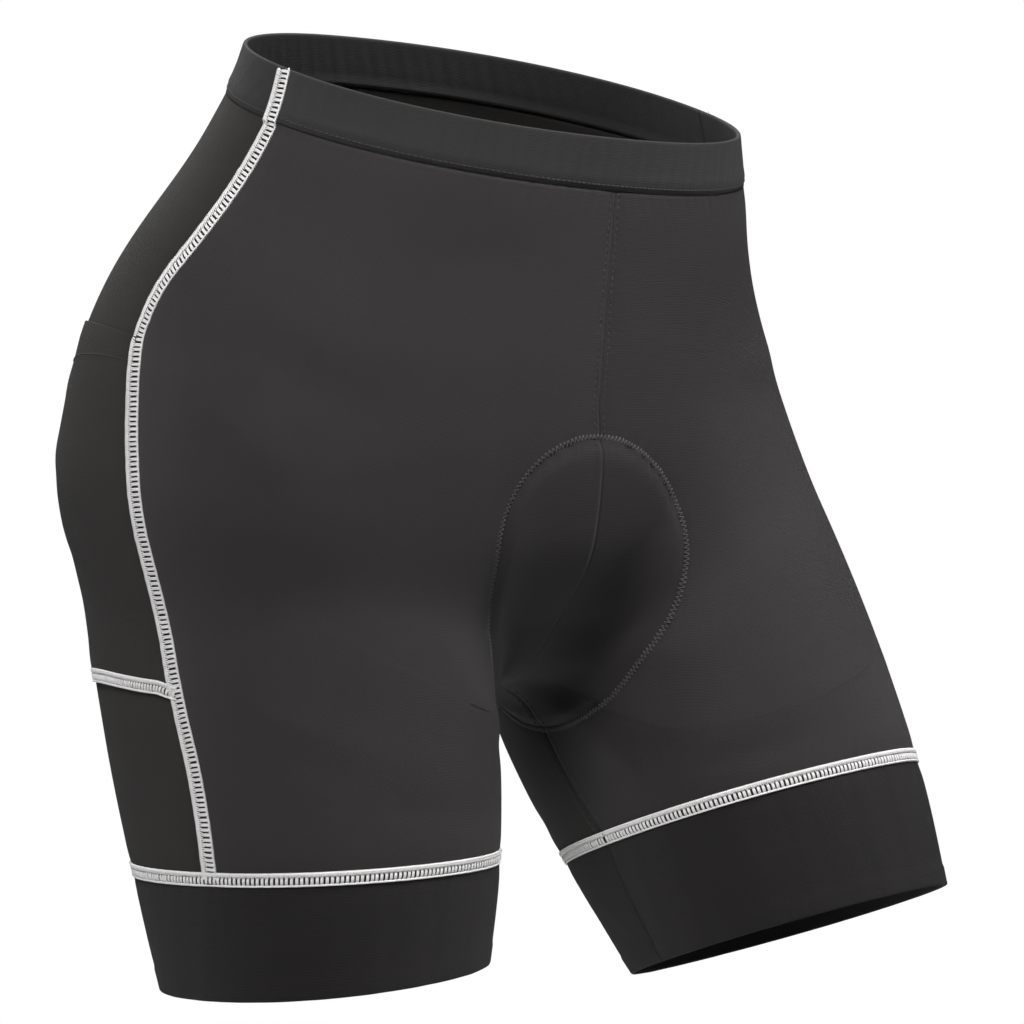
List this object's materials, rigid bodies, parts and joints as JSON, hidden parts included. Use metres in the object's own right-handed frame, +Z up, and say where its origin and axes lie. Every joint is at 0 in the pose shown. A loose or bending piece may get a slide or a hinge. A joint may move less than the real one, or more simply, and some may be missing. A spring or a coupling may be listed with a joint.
{
  "type": "cycling shorts, worn form",
  "caption": "Padded cycling shorts in black stretch jersey, filled out in a step: elastic waist, side patch pockets, leg grippers, pale flatlock seams",
  "frame": {"origin": "middle of the waist opening, at half the waistband's height, where the wearer's waist holds the shorts up", "axes": "+Z up, out of the waist opening. The wearer's front faces -Y and the wearer's left is +X"},
  "size_m": [0.4062, 0.3168, 0.4521],
  "materials": {
    "jersey": "matt stretch jersey with a slight sheen",
    "side_jersey": "matt stretch jersey, a little browner",
    "band_elastic": "jersey over elastic, matt",
    "gripper_knit": "dense matt elastic knit",
    "pad_foam": "brushed knit over foam, matt"
  },
  "bodies": {
    "root": {"waistband_front": "band_elastic", "waistband_back": "band_elastic", "front_right": "jersey", "front_left": "jersey", "back_right": "side_jersey", "back_left": "side_jersey", "pocket_right": "side_jersey", "pocket_left": "side_jersey", "gripper_right": "gripper_knit", "gripper_left": "gripper_knit", "chamois_pad": "pad_foam"}
  },
  "joints": []
}
